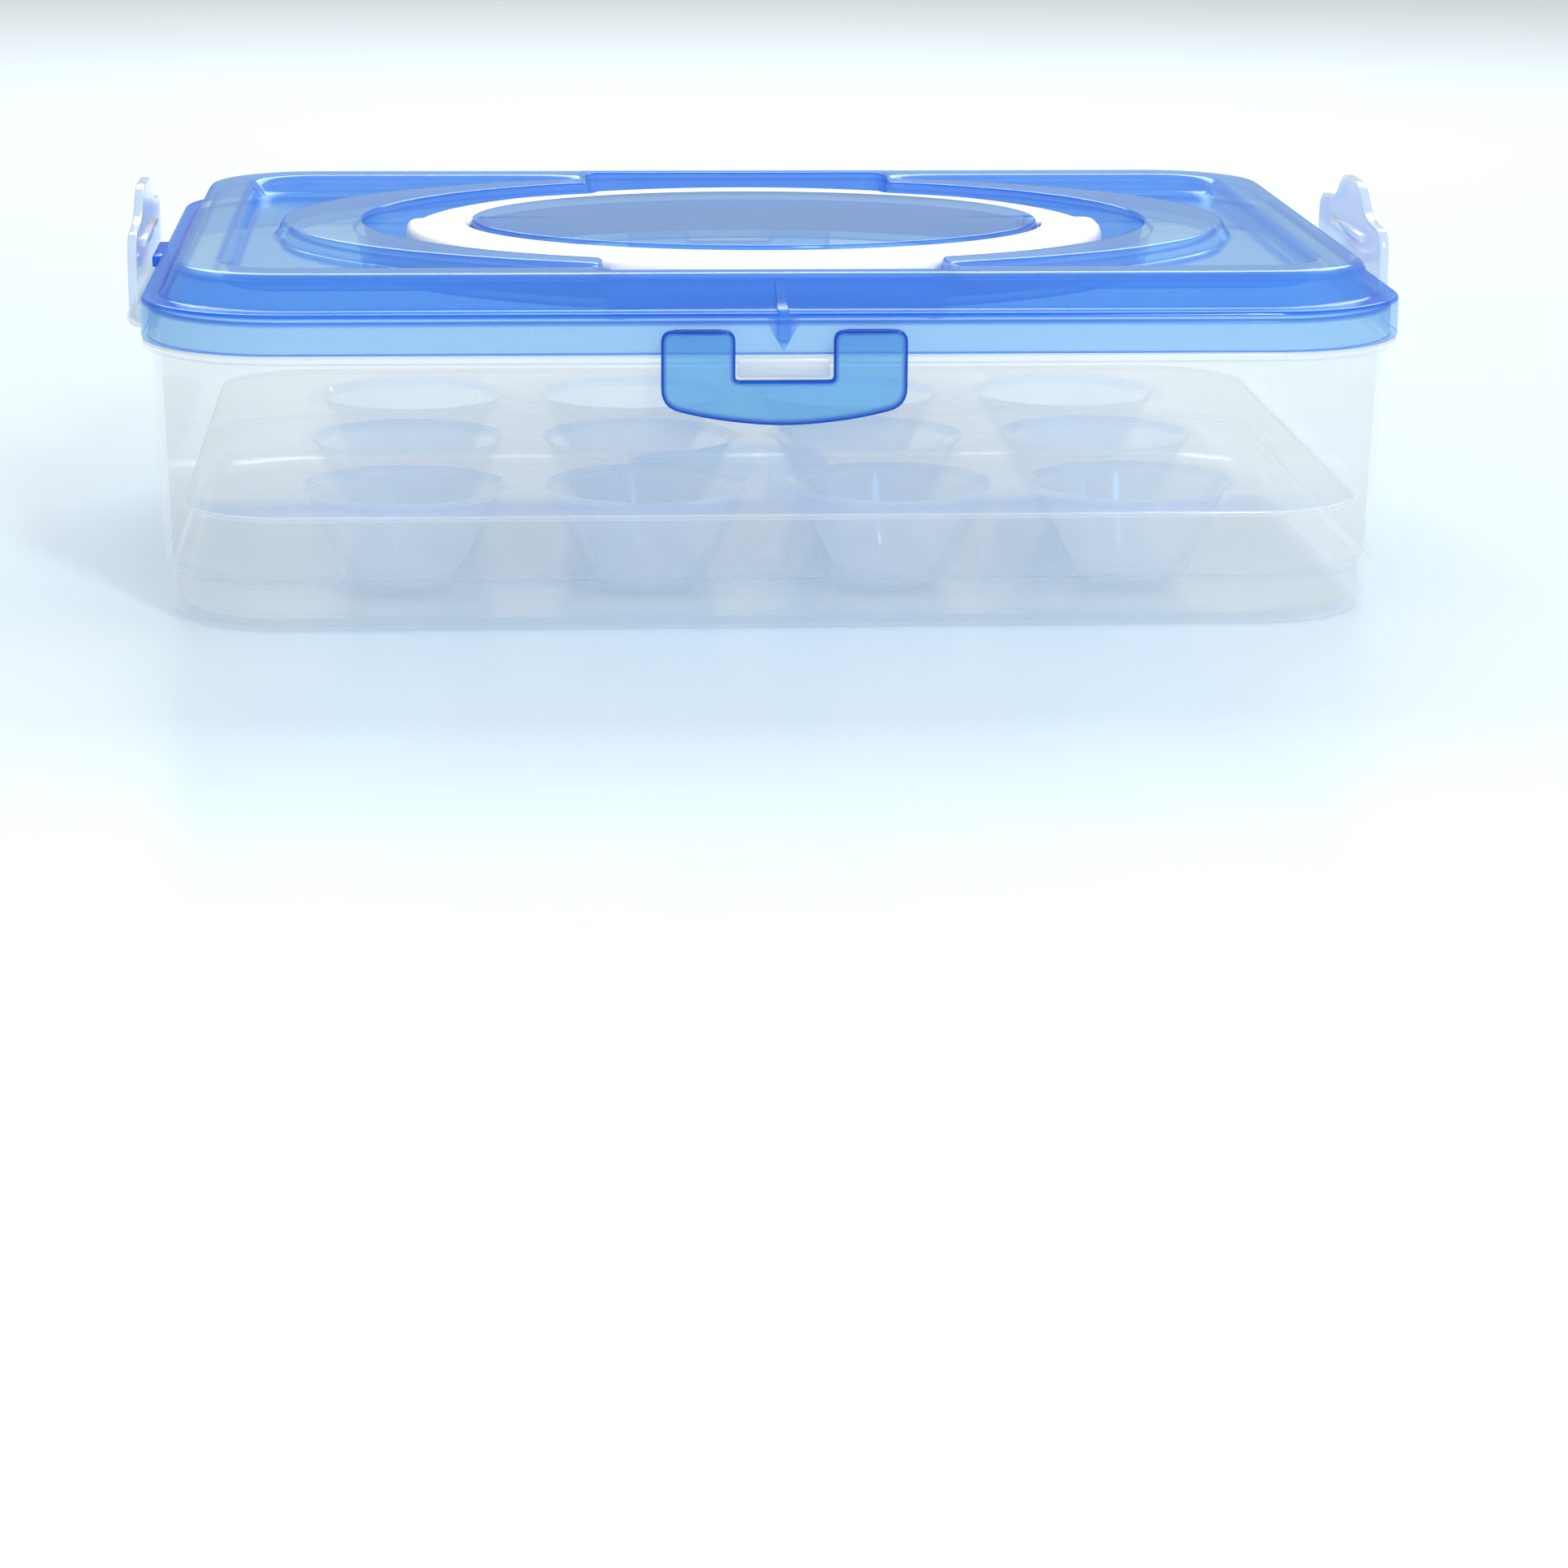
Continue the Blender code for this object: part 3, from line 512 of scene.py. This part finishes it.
def lid_sections():
    """The upper side's corners from skirt to plateau.

    Each is (reach, height, the underside's shift, its drop, fillet, weight, weight up to the next one).
    """
    frame_inner = inset(RAISED, 0.0089)

    def rounded(size):
        return lambda a: rounded_reach(*size, a)

    def oval(size):
        return lambda a: oval_reach(*size, a)

    def level(z):
        return lambda a: z

    def frame_edge(a):
        return max(rounded_reach(*frame_inner, a), channel_edge(a) + 0.0028)

    def valley_outer(a):
        return max(rounded_reach(*inset(frame_inner, 0.0024), a), channel_edge(a) + 0.0021)

    def valley_inner(a):
        ring = oval_reach(RING[0] + 0.0013, RING[1] + 0.0013, a)
        return max(min(ring, valley_outer(a) - 0.0007), channel_edge(a) + 0.0014)

    def ring_edge(a):
        return max(min(oval_reach(*RING, a), valley_inner(a) - 0.0007), channel_edge(a) + 0.0007)

    def valley_height(a):
        width = rounded_reach(*frame_inner, a) - oval_reach(*RING, a)
        return TOP - VALLEY_DEPTH * smooth_step(0.0040, 0.0105, width)

    def wall_foot(a):
        return channel_edge(a) - 0.0013 - 0.0070 * in_notch(a)

    ledge = (RAISED[0] + 0.0026, RAISED[1] + 0.0088, RAISED[2] + 0.0030)
    wall = LID_WALL
    return [
        (rounded(SKIRT), level(SKIRT_BOTTOM), -wall, 0.0, 0.0003, 0.9, 0.0),
        (rounded(SKIRT), level(SKIRT_TOP), -wall, wall, 0.0012, 1.0, 0.9),
        (rounded(ledge), level(SKIRT_TOP), -0.0010, wall, 0.0014, 1.0, 0.75),
        (rounded(RAISED), level(TOP), -0.0014, wall, 0.0016, 0.7, 0.0),
        (frame_edge, level(TOP), 0.0008, wall, 0.0014, 0.5, 0.40),
        (valley_outer, valley_height, 0.0009, wall, 0.0012, 0.5, 0.25),
        (valley_inner, valley_height, -0.0014, wall, 0.0012, 0.6, 0.35),
        (ring_edge, level(TOP), -wall, wall, 0.0010, 0.7, 0.05),
        (channel_edge, level(TOP), wall, wall, 0.0008, 1.0, 0.50),
        (wall_foot, level(CHANNEL_FLOOR), wall, wall, 0.0014, 0.8, 0.30),
        (oval(inset(PLATEAU, -0.0006)), level(CHANNEL_FLOOR), -wall, wall, 0.0008, 0.8, 0.5),
        (oval(inset(PLATEAU, 0.0002)), level(TOP), -wall, wall, 0.0006, 0.9, 0.05),
        (oval(inset(PLATEAU, 0.0260)), level(TOP), 0.0, wall, 0.0, 0.0, 0.05),
    ]


def make_lid():
    sections = lid_sections()
    radii = [s[4] for s in sections]
    weights = [s[5] for s in sections]
    spans = [s[6] for s in sections[-2::-1]] + [0.0] * (len(sections) + 1)
    angles = plan_angles()
    lines = []
    for a in angles:
        upper = [(reach(a), height(a)) for reach, height, *_ in sections]
        under = [[reach(a) + shift, height(a) - drop] for reach, height, shift, drop, *_ in sections]
        for k in range(7, 2, -1):  # where the valley is narrow, the underside's corners keep their order
            under[k][0] = max(under[k][0], under[k + 1][0] + LEAST_STEP)
        profile = upper[::-1] + [tuple(p) for p in under]
        line = fillet(profile, radii[::-1] + radii, weights[::-1] + weights, spans=spans)
        lines.append([((r * cos(a), r * sin(a), z), weight) for (r, z), weight in line])
    rows = [[line[k][0] for line in lines] for k in range(len(lines[0]))]
    edge = [[line[k][1] for line in lines] for k in range(len(lines[0]))]
    bm = bmesh.new()
    grid(bm, rows, edge)
    lid = add_piece("lid_shell", bm)

    extras = bmesh.new()
    for side in (-1, 1):
        x0, x1 = span(side, LENGTH / 2 - 0.0008, TAB_REACH)
        box(extras, (x0, -TAB_HALF, TAB_LOW), (x1, TAB_HALF, TAB_HIGH), 0.0004, 0.9)
        outline = [(side * y, z) for y, z in RIB]
        plate(extras, *[[(x, y, z) for y, z in outline] for x in (-RIB_HALF, RIB_HALF)], weight=0.7)
        x0, x1 = span(side, PLATEAU[0] - 0.0042, PLATEAU[0] - 0.0008)
        box(extras, (x0, -PIVOT_HALF, PIVOT_LOW), (x1, PIVOT_HALF, TOP - 0.0008), 0.0004, 0.5)
    boolean(lid, "UNION", extras)
    slots = bmesh.new()
    for side in (-1, 1):
        x0, x1 = span(side, PLATEAU[0] - 0.0026, PLATEAU[0] + 0.0020)
        box(slots, (x0, -SLOT_HALF, SLOT_FLOOR), (x1, SLOT_HALF, TOP + 0.0010), 0.0002, 0.8)
    boolean(lid, "DIFFERENCE", slots)
    return lid


# ---- handle -------------------------------------------------------------------------------------
def handle_reach(angle):
    return min(oval_reach(*HANDLE_OUTER, angle), channel_edge(angle) - CLEAR_OUT)


def ring_section(angle, z_low, z_high, slope):
    """The handle's or rest's outline at an angle; slope is how its inner lower corner is cut off."""
    r_in = oval_reach(*inset(PLATEAU, -CLEAR_IN), angle)
    r_out = handle_reach(angle)
    corners = [  # reach, height, fillet
        (r_in + slope[0], z_low, 0.0020),
        (r_out - 0.0002, z_low, 0.0014),
        (r_out, z_high, 0.0024),
        (r_in, z_high, 0.0008),
        (r_in, z_low + slope[1], 0.0020),
    ]
    middle = ((r_in + slope[0] + r_out) / 2, z_low)
    points = [middle] + [c[:2] for c in corners[1:]] + [corners[0][:2], middle]
    radii = [0] + [c[2] for c in corners[1:]] + [corners[0][2], 0]
    line = fillet(points, radii, [0] * len(points), 5)[:-1]
    return [(r * cos(angle), r * sin(angle), z) for (r, z), _ in line]


def ring_angles():
    return [pi * i / RING_STEPS for i in range(RING_STEPS + 1)]


def loft_sections(sections):
    bm = bmesh.new()
    grid(bm, sections, [[0.0] * len(section) for section in sections])
    return bm


def make_handle():
    slope = (0.0062, 0.0046)
    rows = [ring_section(-a, HANDLE_BOTTOM, HANDLE_TOP, slope) for a in ring_angles()]
    first, last = rows[0], rows[-1]

    def end(section):
        """The short straight past the pivot, lifted and narrowed towards its tip."""
        middle = sum(p[0] for p in section) / len(section)
        made = []
        for i in range(1, END_STEPS + 1):
            t = i / END_STEPS
            along = BLOCK_BACK * t
            low = HANDLE_BOTTOM + 0.0032 * max(0.0, (t - 0.4) / 0.6) ** 1.6
            shrink = 1 - 0.10 * max(0.0, (t - 0.8) / 0.2) ** 2
            made.append([(middle + (x - middle) * shrink, y + along, max(z, low)) for x, y, z in section])
        return made

    rows = end(first)[::-1] + rows + end(last)
    handle = add_piece("carry_handle_moulding", loft_sections(rows), ROUND_SHARP_ANGLE)
    pins = bmesh.new()
    for side in (-1, 1):
        ends = span(side, PLATEAU[0] - 0.0021, PLATEAU[0] + 0.0018)
        cylinder(pins, PIN_RADIUS, ends, (0.0, PIVOT_Z), "x")
    boolean(handle, "UNION", pins)
    return handle


def make_rest():
    low = CHANNEL_FLOOR + 2 * GAP
    rows = [ring_section(a, low, REST_TOP, (0.0010, 0.0012)) for a in ring_angles()]
    first, last = rows[0], rows[-1]
    rows = [row for row in rows if min(point[1] for point in row) > REST_START + 0.0015]
    ends = [[(x, y + REST_START, z) for x, y, z in section] for section in (first, last)]
    rows = [ends[0]] + rows + [ends[1]]
    return add_piece("handle_rest_moulding", loft_sections(rows), ROUND_SHARP_ANGLE)


# ---- latches ------------------------------------------------------------------------------------
def fillet_loop(corners, steps=LOOP_STEPS):
    """Rounds a closed outline, given as (x, y, radius) corners."""
    made = []
    for i, (x, y, radius) in enumerate(corners):
        here = Vector((x, y))
        back = Vector(corners[i - 1][:2]) - here
        ahead = Vector(corners[(i + 1) % len(corners)][:2]) - here
        start = here + back.normalized() * min(radius, LOOP_SHARE * back.length)
        end = here + ahead.normalized() * min(radius, LOOP_SHARE * ahead.length)
        for k in range(steps + 1):
            point = bend(start, here, end, k / steps)
            if not made or (point - made[-1]).length > 1e-5:
                made.append(point)
    return [tuple(p) for p in made]


def make_hanging_latch(name, side):
    right = [  # x, z, corner radius
        (LATCH_NOTCH_HALF, LATCH_NOTCH_Z, 0.0008),
        (LATCH_NOTCH_HALF, LATCH_TOP, 0.0022),
        (LATCH_HALF, LATCH_TOP, 0.0024),
        (LATCH_HALF, LATCH_SIDE_Z - 0.0018, 0.0036),
        (LATCH_HALF * 0.60, LATCH_TIP_Z + 0.0012, 0.0060),
    ]
    tip = (0.0, LATCH_TIP_Z - 0.0003, 0.0070)
    outline = fillet_loop(right + [tip] + [(-x, z, radius) for x, z, radius in reversed(right)])
    depths = [side * y for y in (LATCH_INNER_Y, LATCH_INNER_Y + LATCH_THICK)]
    bm = bmesh.new()
    plate(bm, *[[(x, y, z) for x, z in outline] for y in depths])
    latch = add_piece(name, bm)
    bevel(latch, LATCH_BEVEL)
    calm_faces(latch, LATCH_BEVEL)
    webs = bmesh.new()
    low, high = LATCH_AXIS_Z - WEB_HALF, LATCH_AXIS_Z + WEB_HALF
    y0, y1 = span(side, DEPTH / 2 + GAP, LATCH_INNER_Y + 0.0006)
    for sx in (-1, 1):
        x0, x1 = span(sx, LATCH_NOTCH_HALF + 0.0025, LATCH_HALF - 0.0025)
        box(webs, (x0, y0, low), (x1, y1, high), 0.0002, 1.0)
    boolean(latch, "UNION", webs)
    return latch


def make_side_latch(name, side):
    right = [  # y, z, corner radius
        (SIDE_HALF, SIDE_AXIS[1] - 0.0012, 0.0),
        (SIDE_HALF, SIDE_SHOULDER, 0.0050),
        (FINGER_ROOT, SIDE_SHOULDER + 0.0010, 0.0060),
        (FINGER_HALF, SIDE_TOP, 0.0045),
    ]
    outline = fillet_loop(right + [(-y, z, radius) for y, z, radius in reversed(right)], 2 * LOOP_STEPS)
    widths = [side * x for x in (SIDE_INNER_X, SIDE_INNER_X + SIDE_THICK)]
    bm = bmesh.new()
    plate(bm, *[[(x, y, z) for y, z in outline] for x in widths], weight=0.8)
    latch = add_piece(name, bm)
    bevel(latch, SIDE_BEVEL)
    calm_faces(latch, SIDE_BEVEL)
    axis = (side * SIDE_AXIS[0], SIDE_AXIS[1])
    barrel = bmesh.new()
    cylinder(barrel, BARREL_RADIUS, (-SIDE_HALF + 0.0002, SIDE_HALF - 0.0002), axis, "y")
    boolean(latch, "UNION", barrel)
    catch = bmesh.new()
    x0, x1 = span(side, CATCH_X, SIDE_INNER_X + 0.0008)
    box(catch, (x0, -CATCH_HALF, CATCH_LOW), (x1, CATCH_HALF, CATCH_HIGH), 0.0005, 0.5)
    boolean(latch, "UNION", catch)
    pins = bmesh.new()
    reach = SIDE_HALF + EAR_CLEAR + PIN_PAST
    cylinder(pins, SIDE_PIN, (-reach, reach), axis, "y")
    boolean(latch, "UNION", pins)
    return latch


# ---- materials ----------------------------------------------------------------------------------
def link(tree, source, target):
    tree.links.new(source, target)


def add_node(tree, kind, values):
    made = tree.nodes.new(kind)
    for socket, value in values.items():
        made.inputs[socket].default_value = value
    return made


def noise(tree, coordinates, scale, detail):
    made = add_node(tree, "ShaderNodeTexNoise", {"Scale": scale, "Detail": detail})
    link(tree, coordinates.outputs["Object"], made.inputs["Vector"])
    return made.outputs["Fac"]


def map_range(tree, source, low, high):
    made = add_node(tree, "ShaderNodeMapRange", {"To Min": low, "To Max": high})
    link(tree, source, made.inputs["Value"])
    return made.outputs["Result"]


def bump(tree, source, strength):
    made = add_node(tree, "ShaderNodeBump", {"Strength": strength, "Distance": BUMP_DEPTH})
    link(tree, source, made.inputs["Height"])
    return made.outputs["Normal"]


def color_mix(tree, factor, first, second):
    made = tree.nodes.new("ShaderNodeMix")
    made.data_type = "RGBA"
    made.inputs["A"].default_value = (*first, 1.0)
    made.inputs["B"].default_value = (*second, 1.0)
    link(tree, factor, made.inputs["Factor"])
    return made.outputs["Result"]


def shader_mix(tree, first, second):
    made = tree.nodes.new("ShaderNodeMixShader")
    link(tree, first, made.inputs[1])
    link(tree, second, made.inputs[2])
    return made


def calculate(tree, operation, first, second, clamp=False):
    made = tree.nodes.new("ShaderNodeMath")
    made.operation = operation
    made.use_clamp = clamp
    link(tree, first, made.inputs[0])
    link(tree, second, made.inputs[1])
    return made.outputs["Value"]


def film(name, tint, deep_tint, color, deep_color, cover, deep_cover, roughness, haze=0.5,
         sheen=(1.0, 1.0, 1.0), edge_gloss=1.0):
    """Moulded see-through plastic: a tinted film over a paler solid share, deeper where it's edge-on.

    cover is the solid share and haze the part of it that glows through. The deep_ values are those
    of an edge, where edge_gloss is the share of the gloss that stays; on the tray's cups they also
    paint a highlight on the rims and inner walls.
    """
    made = bpy.data.materials.new(name)
    made.use_nodes = True
    tree = made.node_tree
    tree.nodes.clear()
    out = tree.nodes.new("ShaderNodeOutputMaterial")
    attribute = tree.nodes.new("ShaderNodeAttribute")
    attribute.attribute_name = EDGE_AND_PAINTED_LIGHT
    edge = attribute.outputs["Fac"]
    coordinates = tree.nodes.new("ShaderNodeTexCoord")
    uneven = map_range(tree, noise(tree, coordinates, 22.0, 3.0), roughness * 0.75, roughness * 1.35)
    normal = bump(tree, noise(tree, coordinates, 260.0, 2.0), 0.015)

    clear = tree.nodes.new("ShaderNodeBsdfTransparent")
    link(tree, color_mix(tree, edge, tint, deep_tint), clear.inputs["Color"])
    mixed = color_mix(tree, edge, color, deep_color)
    solid = add_node(tree, "ShaderNodeBsdfPrincipled", {"IOR": PLASTIC_IOR})
    link(tree, mixed, solid.inputs["Base Color"])
    link(tree, uneven, solid.inputs["Roughness"])
    link(tree, normal, solid.inputs["Normal"])
    glow = tree.nodes.new("ShaderNodeBsdfTranslucent")
    link(tree, mixed, glow.inputs["Color"])
    body = shader_mix(tree, solid.outputs["BSDF"], glow.outputs["BSDF"])
    body.inputs["Fac"].default_value = haze
    under = shader_mix(tree, clear.outputs["BSDF"], body.outputs["Shader"])
    link(tree, map_range(tree, edge, cover, deep_cover), under.inputs["Fac"])

    gloss = add_node(tree, "ShaderNodeBsdfGlossy", {"Color": (*sheen, 1.0), "Roughness": roughness})
    link(tree, normal, gloss.inputs["Normal"])
    fresnel = add_node(tree, "ShaderNodeFresnel", {"IOR": GLOSS_IOR})
    geometry = tree.nodes.new("ShaderNodeNewGeometry")
    outer = calculate(tree, "SUBTRACT", fresnel.outputs["Fac"], geometry.outputs["Backfacing"], True)
    shine = calculate(tree, "MULTIPLY", outer, map_range(tree, edge, 1.0, edge_gloss))
    top = shader_mix(tree, under.outputs["Shader"], gloss.outputs["BSDF"])
    link(tree, shine, top.inputs["Fac"])
    link(tree, top.outputs["Shader"], out.inputs["Surface"])
    return made


def white_plastic(name):
    made = bpy.data.materials.new(name)
    made.use_nodes = True
    tree = made.node_tree
    shader = tree.nodes["Principled BSDF"]
    coordinates = tree.nodes.new("ShaderNodeTexCoord")
    flow = noise(tree, coordinates, 35.0, 3.0)
    link(tree, color_mix(tree, flow, (0.76, 0.79, 0.81), (0.79, 0.82, 0.84)), shader.inputs["Base Color"])
    link(tree, map_range(tree, flow, 0.26, 0.36), shader.inputs["Roughness"])
    grain = noise(tree, coordinates, 1200.0, 2.0)
    link(tree, bump(tree, grain, 0.06), shader.inputs["Normal"])
    shader.inputs["Subsurface Weight"].default_value = 0.15
    shader.inputs["Subsurface Radius"].default_value = (0.004, 0.004, 0.004)
    shader.inputs["Subsurface Scale"].default_value = 1.0
    return made


# ---- studio -------------------------------------------------------------------------------------
def area_light(name, location, target, size, power):
    data = bpy.data.lights.new(name, "AREA")
    data.shape = "RECTANGLE"
    data.size, data.size_y = size
    data.energy = power
    obj = bpy.data.objects.new(name, data)
    bpy.context.scene.collection.objects.link(obj)
    obj.location = location
    obj.rotation_euler = (Vector(target) - Vector(location)).to_track_quat("-Z", "Y").to_euler()


def make_studio():
    scene = bpy.context.scene
    world = bpy.data.worlds.new("studio")
    world.use_nodes = True
    background = world.node_tree.nodes["Background"]
    background.inputs["Color"].default_value = (1.0, 0.99, 0.97, 1.0)
    background.inputs["Strength"].default_value = 0.65
    scene.world = world
    bm = bmesh.new()
    bmesh.ops.create_grid(bm, x_segments=1, y_segments=1, size=6.0)
    floor = add_piece("floor", bm)
    floor.location.z = -0.0002
    look = bpy.data.materials.new("floor")
    look.use_nodes = True
    shader = look.node_tree.nodes["Principled BSDF"]
    shader.inputs["Base Color"].default_value = (0.66, 0.77, 0.83, 1.0)
    shader.inputs["Roughness"].default_value = 0.20
    floor.data.materials.append(look)
    area_light("key", (-0.5, -0.5, 1.2), (0, 0, 0.04), (1.0, 0.7), 2.0)
    area_light("fill", (0.8, -0.3, 0.9), (0, 0, 0.04), (0.8, 0.8), 2.0)
    area_light("strip", (0.35, -1.1, 0.8), (0, 0, 0.03), (0.14, 0.5), 9.0)
    area_light("back", (0.1, 1.0, 0.8), (0, 0, 0.05), (1.2, 0.5), 13.5)
    scene.view_settings.view_transform = "Standard"
    scene.cycles.transparent_max_bounces = 48
    scene.cycles.max_bounces = 20
    scene.cycles.diffuse_bounces = 12


def make_camera():
    data = bpy.data.cameras.new("camera")
    data.sensor_width = CAMERA_SENSOR
    data.lens = CAMERA_LENS
    data.clip_start = 0.01
    camera = bpy.data.objects.new("camera", data)
    bpy.context.scene.collection.objects.link(camera)
    pitch, yaw, roll = (radians(angle) for angle in CAMERA_TURN)
    ahead = Vector((sin(yaw) * cos(pitch), cos(yaw) * cos(pitch), -sin(pitch)))
    level = Vector((cos(yaw), -sin(yaw), 0.0))
    upright = level.cross(ahead)
    right = cos(roll) * level + sin(roll) * upright
    up = -sin(roll) * level + cos(roll) * upright
    turned = Matrix((right, up, -ahead)).transposed().to_4x4()
    camera.matrix_world = Matrix.Translation(CAMERA_PLACE) @ turned
    bpy.context.scene.camera = camera


# ---- put together -------------------------------------------------------------------------------
clear_look = film(
    "clear_plastic",
    tint=(0.998, 0.995, 0.985),
    deep_tint=(0.88, 0.90, 0.91),
    color=(0.995, 0.985, 0.955),
    deep_color=(0.84, 0.88, 0.91),
    cover=0.145,
    deep_cover=0.50,
    roughness=0.15,
)
# On the tray the deep_ values are near-white and more solid: they paint the cups' rims and inner walls paler,
# as a painted highlight.
tray_look = film(
    "tray_plastic",
    tint=(0.994, 0.996, 0.994),
    deep_tint=(0.96, 0.97, 0.98),
    color=(0.98, 0.985, 0.98),
    deep_color=(0.98, 0.985, 0.99),
    cover=0.11,
    deep_cover=0.58,
    roughness=0.08,
    haze=0.4,
)
blue_look = film(
    "blue_plastic",
    tint=(0.74, 0.88, 0.97),
    deep_tint=(0.01, 0.31, 0.87),
    color=(0.40, 0.65, 0.92),
    deep_color=(0.00, 0.19, 0.79),
    cover=0.26,
    deep_cover=0.68,
    roughness=0.12,
    haze=0.4,
    sheen=(0.50, 0.68, 0.92),
    edge_gloss=0.15,
)
latch_look = film(
    "latch_plastic",
    tint=(0.62, 0.84, 0.96),
    deep_tint=(0.04, 0.30, 0.80),
    color=(0.28, 0.60, 0.88),
    deep_color=(0.01, 0.13, 0.60),
    cover=0.28,
    deep_cover=0.65,
    roughness=0.10,
    sheen=(0.50, 0.68, 0.90),
    edge_gloss=0.3,
)
side_look = film(
    "side_latch_plastic",
    tint=(0.93, 0.955, 0.98),
    deep_tint=(0.78, 0.85, 0.94),
    color=(0.82, 0.89, 0.96),
    deep_color=(0.60, 0.72, 0.88),
    cover=0.36,
    deep_cover=0.60,
    roughness=0.13,
)
white_look = white_plastic("white_plastic")

place(make_body(), "box", "body", clear_look)
place(make_tray(), "tray", "egg_tray", tray_look)
place(make_lid(), "cover", "lid", blue_look)
place(make_handle(), "handle", "carry_handle", white_look)
place(make_rest(), "cover", "handle_rest", white_look)
for name, side in (("front", -1), ("rear", 1)):
    latch = make_hanging_latch(name + "_flap_moulding", side)
    place(latch, name + "_flap", name + "_latch", latch_look)
for name, side in (("left", -1), ("right", 1)):
    latch = make_side_latch(name + "_flap_moulding", side)
    place(latch, name + "_flap", name + "_latch", side_look)
make_studio()
make_camera()
